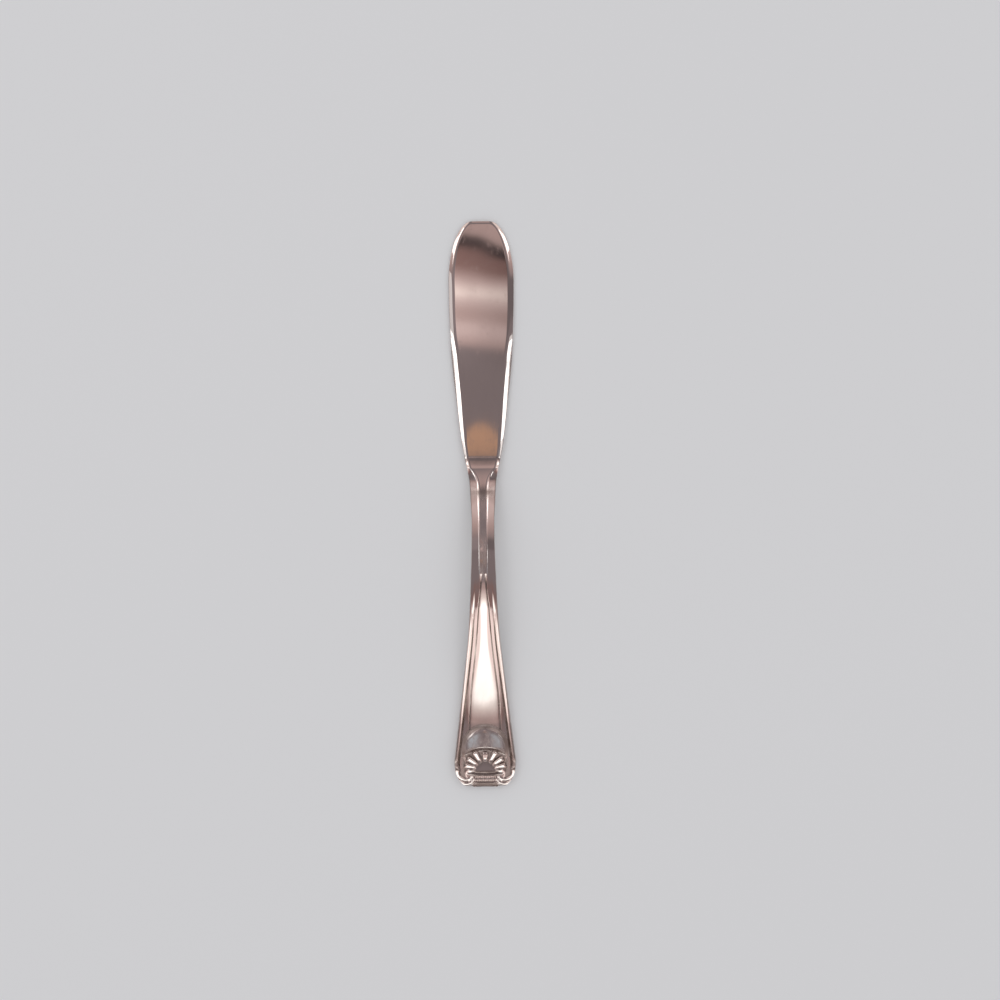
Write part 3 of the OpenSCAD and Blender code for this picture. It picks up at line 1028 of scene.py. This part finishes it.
# What the polished face reflects, from the handle's side (-1) over straight up (0) to the tip's side (1)
room = {
    "plain": (0.72, 0.72, 0.73),   # what everything else sees
    "tones": {
        "white": (1.5, 1.42, 1.38), "bright": (1.0, 0.8, 0.77), "pale": (0.84, 0.70, 0.66),
        "blush": (0.58, 0.44, 0.425), "rose": (0.42, 0.30, 0.285), "tan": (0.47, 0.275, 0.185),
        "umber": (0.22, 0.13, 0.12), "dusk": (0.20, 0.16, 0.165), "dark": (0.045, 0.035, 0.037),
        "cool": (0.40, 0.41, 0.445),
    },
    # what only the flat of the blade and the top of the neck see, straight ahead of them
    "core": (
        (-0.02, "dusk"), (0.030, "dusk"), (0.037, "tan"), (0.067, "tan"), (0.071, "dusk"),
        (0.119, "dusk"), (0.122, "rose"), (0.129, "blush"), (0.134, "blush"), (0.139, "rose"),
        (0.145, "rose"), (0.152, "blush"), (0.1575, "pale"), (0.163, "blush"), (0.1665, "rose"),
        (0.173, "umber"), (0.1835, "umber"), (0.1875, "dark"), (0.1925, "dark"), (0.1955, "rose"),
        (0.212, "rose"), (0.225, "dusk"), (0.4, "dusk"), (0.45, "rose"), (0.49, "rose"),
    ),
    "middle": (
        (-0.95, "dusk"), (-0.58, "dusk"), (-0.49, "white"), (-0.28, "white"), (-0.24, "pale"),
        (-0.20, "blush"), (-0.175, "rose"), (-0.155, "rose"), (-0.12, "dusk"), (0.95, "dusk"),
    ),
    "sides": (
        (-0.95, "dusk"), (-0.6, "rose"), (-0.46, "pale"), (-0.38, "bright"), (-0.29, "bright"),
        (-0.24, "blush"), (-0.19, "umber"), (-0.1, "dusk"), (0.17, "dusk"),
        (0.25, "rose"), (0.31, "blush"), (0.45, "blush"), (0.55, "pale"), (0.8, "blush"),
    ),
    "centre": -0.011,            # the camera stands a little to the right of the knife
    "coreWidth": (0.05, 0.03),
    "coreStart": (-0.02, 0),
    "sideWidth": (0.19, 0.33),
    "lean": 0.1,                 # the bands lean down to the right
    "slant": 0.45,               # those by the tip more so
    "slantStart": (0.16, 0.185),
    "arch": 70,                  # the tan patch has a rounded upper edge
    "archLimit": 0.015,
    "archStart": (0.01, 0.04),
    "archStop": (0.085, 0.073),
    "waver": 0.003,
    "waverScale": 40,
    "leftGlow": 13,              # the blade brightens to the left
    "glowLimit": 0.25,
    "glowStart": (0.1, 0.125),
    "glowStop": (0.2, 0.17),
    "coolPatch": (0.31, -0.045, 0.17, 0.05),   # where it lies sideways and along, and its half sizes
    "coolEdge": (1.4, 0.5),
}


def makeRoom():
    world = bpy.data.worlds.new("softRoom")
    bpy.context.scene.world = world
    world.use_nodes = True
    tree = world.node_tree
    nodes, links = tree.nodes, tree.links
    nodes.clear()
    output = nodes.new("ShaderNodeOutputWorld")
    background = nodes.new("ShaderNodeBackground")
    links.new(background.outputs[0], output.inputs["Surface"])
    direction = nodes.new("ShaderNodeTexCoord")
    split = nodes.new("ShaderNodeSeparateXYZ")
    links.new(direction.outputs["Generated"], split.inputs[0])
    along = split.outputs["Y"]

    def times(a, b):
        return calculate(tree, "MULTIPLY", a, b)

    def plus(a, b):
        return calculate(tree, "ADD", a, b)

    def minus(a, b):
        return calculate(tree, "SUBTRACT", a, b)

    def share(source, edges):
        return fitted(tree, source, edges, kind="SMOOTHSTEP")

    def tones(source, stops):
        ladder = nodes.new("ShaderNodeValToRGB")
        elements = ladder.color_ramp.elements
        elements.remove(elements[-1])
        low, high = stops[0][0], stops[-1][0]
        for k, (place, tone) in enumerate(stops):
            stop = elements[0] if k == 0 else elements.new((place - low) / (high - low))
            stop.position = (place - low) / (high - low)
            stop.color = (*room["tones"][tone], 1)
        links.new(fitted(tree, source, (low, high)), ladder.inputs["Fac"])
        return ladder.outputs["Color"]

    noise = nodes.new("ShaderNodeTexNoise")
    noise.inputs["Scale"].default_value = room["waverScale"]
    noise.inputs["Detail"].default_value = 2
    links.new(direction.outputs["Generated"], noise.inputs["Vector"])
    waver = times(minus(noise.outputs["Fac"], 0.5), 2 * room["waver"])
    sideways = minus(split.outputs["X"], room["centre"])
    away = calculate(tree, "ABSOLUTE", sideways)

    # the bands that the blade sees lean, slant by the tip, and arch by the heel
    slant = times(calculate(tree, "MAXIMUM", sideways, 0), room["slant"])
    slant = plus(times(slant, share(along, room["slantStart"])), times(sideways, room["lean"]))
    arch = calculate(tree, "MINIMUM", times(times(sideways, sideways), room["arch"]), room["archLimit"])
    arch = times(arch, times(share(along, room["archStart"]), share(along, room["archStop"])))
    place = plus(plus(along, waver), plus(slant, arch))
    inCore = times(share(away, room["coreWidth"]), share(along, room["coreStart"]))
    seen = blended(tree, inCore, tones(along, room["middle"]), tones(place, room["core"]))
    seen = blended(tree, share(away, room["sideWidth"]), seen, tones(along, room["sides"]))

    x, y, halfX, halfY = room["coolPatch"]
    spot = plus(calculate(tree, "POWER", times(minus(away, x), 1 / halfX), 2),
                calculate(tree, "POWER", times(minus(along, y), 1 / halfY), 2))
    seen = blended(tree, share(spot, room["coolEdge"]), seen, room["tones"]["cool"])

    glow = calculate(tree, "MINIMUM", times(sideways, -room["leftGlow"]), room["glowLimit"])
    glow = calculate(tree, "MAXIMUM", glow, -room["glowLimit"])
    glow = plus(times(glow, times(share(along, room["glowStart"]), share(along, room["glowStop"]))), 1)
    brighter = nodes.new("ShaderNodeCombineXYZ")
    for socket in brighter.inputs:
        links.new(glow, socket)
    seen = blended(tree, 1, seen, brighter.outputs[0], "MULTIPLY")
    path = nodes.new("ShaderNodeLightPath")
    seen = blended(tree, path.outputs["Is Glossy Ray"], room["plain"], seen)
    links.new(seen, background.inputs["Color"])


# Each softbox: the direction it stands in, its distance, its length along the knife and height, how bright
softboxes = {
    "leftBevelBox": ((-0.565, 0.055, 0.82), 0.9, (0.080, 0.27), 1.5),
    "rightBevelBox": ((0.58, 0.055, 0.81), 0.9, (0.064, 0.20), 1.5),
    "leftBellyBox": ((-0.575, 0.175, 0.80), 0.9, (0.140, 0.26), 0.42),
    "leftBrowBox": ((-0.575, 0.110, 0.81), 0.9, (0.028, 0.26), 0.9),
    "rightBrowBox": ((0.575, 0.095, 0.81), 0.9, (0.030, 0.20), 0.5),
    "leftHeelBox": ((-0.565, -0.008, 0.82), 0.9, (0.045, 0.27), 0.8),
    "rightHeelBox": ((0.600, -0.008, 0.80), 0.9, (0.050, 0.06), 0.8),
    "leftThreadBox": ((-0.70, -0.45, 0.62), 0.9, (0.20, 0.08), 1.3),
    "rightThreadBox": ((0.70, -0.45, 0.62), 0.9, (0.20, 0.08), 1.3),
    "leftTipBox": ((-0.50, 0.44, 0.75), 1.0, (0.26, 0.24), 1.3),
    "rightTipBox": ((0.50, 0.44, 0.75), 1.0, (0.22, 0.24), 1.3),
}
lampColour = (1, 0.97, 0.96)


def makeSoftboxes():
    for name, (toward, distance, size, bright) in softboxes.items():
        lamp = bpy.data.lights.new(name, "AREA")
        lamp.shape = "RECTANGLE"
        lamp.size, lamp.size_y = size
        lamp.energy = bright * math.pi * size[0] * size[1]
        lamp.color = lampColour
        holder = bpy.data.objects.new(name, lamp)
        bpy.context.collection.objects.link(holder)
        place = Vector(toward).normalized() * distance
        holder.location = place
        holder.rotation_mode = "QUATERNION"
        holder.rotation_quaternion = (-place).to_track_quat("-Z", "Y")


# Straight down on the knife, which lies a little left of the middle and leans half a degree
shot = {
    "height": 0.42,
    "measured": 0.0012,          # the height of the knife's face where its length is measured
    "knifePixels": 565.8,
    "knifeMiddle": (483, 503.6),
    "imagePixels": 1000,
    "lean": 0.49,
    "sensor": 36,
}


def makeCamera():
    camera = bpy.data.cameras.new("overhead")
    holder = bpy.data.objects.new("overhead", camera)
    bpy.context.collection.objects.link(holder)
    metresPerPixel = blank["length"] * mm / shot["knifePixels"]
    right = (shot["imagePixels"] / 2 - shot["knifeMiddle"][0]) * metresPerPixel
    up = (shot["knifeMiddle"][1] - shot["imagePixels"] / 2) * metresPerPixel
    turn = -math.radians(shot["lean"])
    holder.location = (
        right * math.cos(turn) - up * math.sin(turn),
        right * math.sin(turn) + up * math.cos(turn),
        shot["height"],
    )
    holder.rotation_euler = (0, 0, turn)
    camera.sensor_width = shot["sensor"]
    distance = shot["height"] - shot["measured"]
    camera.lens = shot["sensor"] * distance / (metresPerPixel * shot["imagePixels"])
    camera.clip_start = 0.01
    bpy.context.scene.camera = holder


makeTable()
makeRoom()
makeSoftboxes()
makeCamera()
bpy.context.scene.view_settings.view_transform = "Standard"
print("light and camera set")
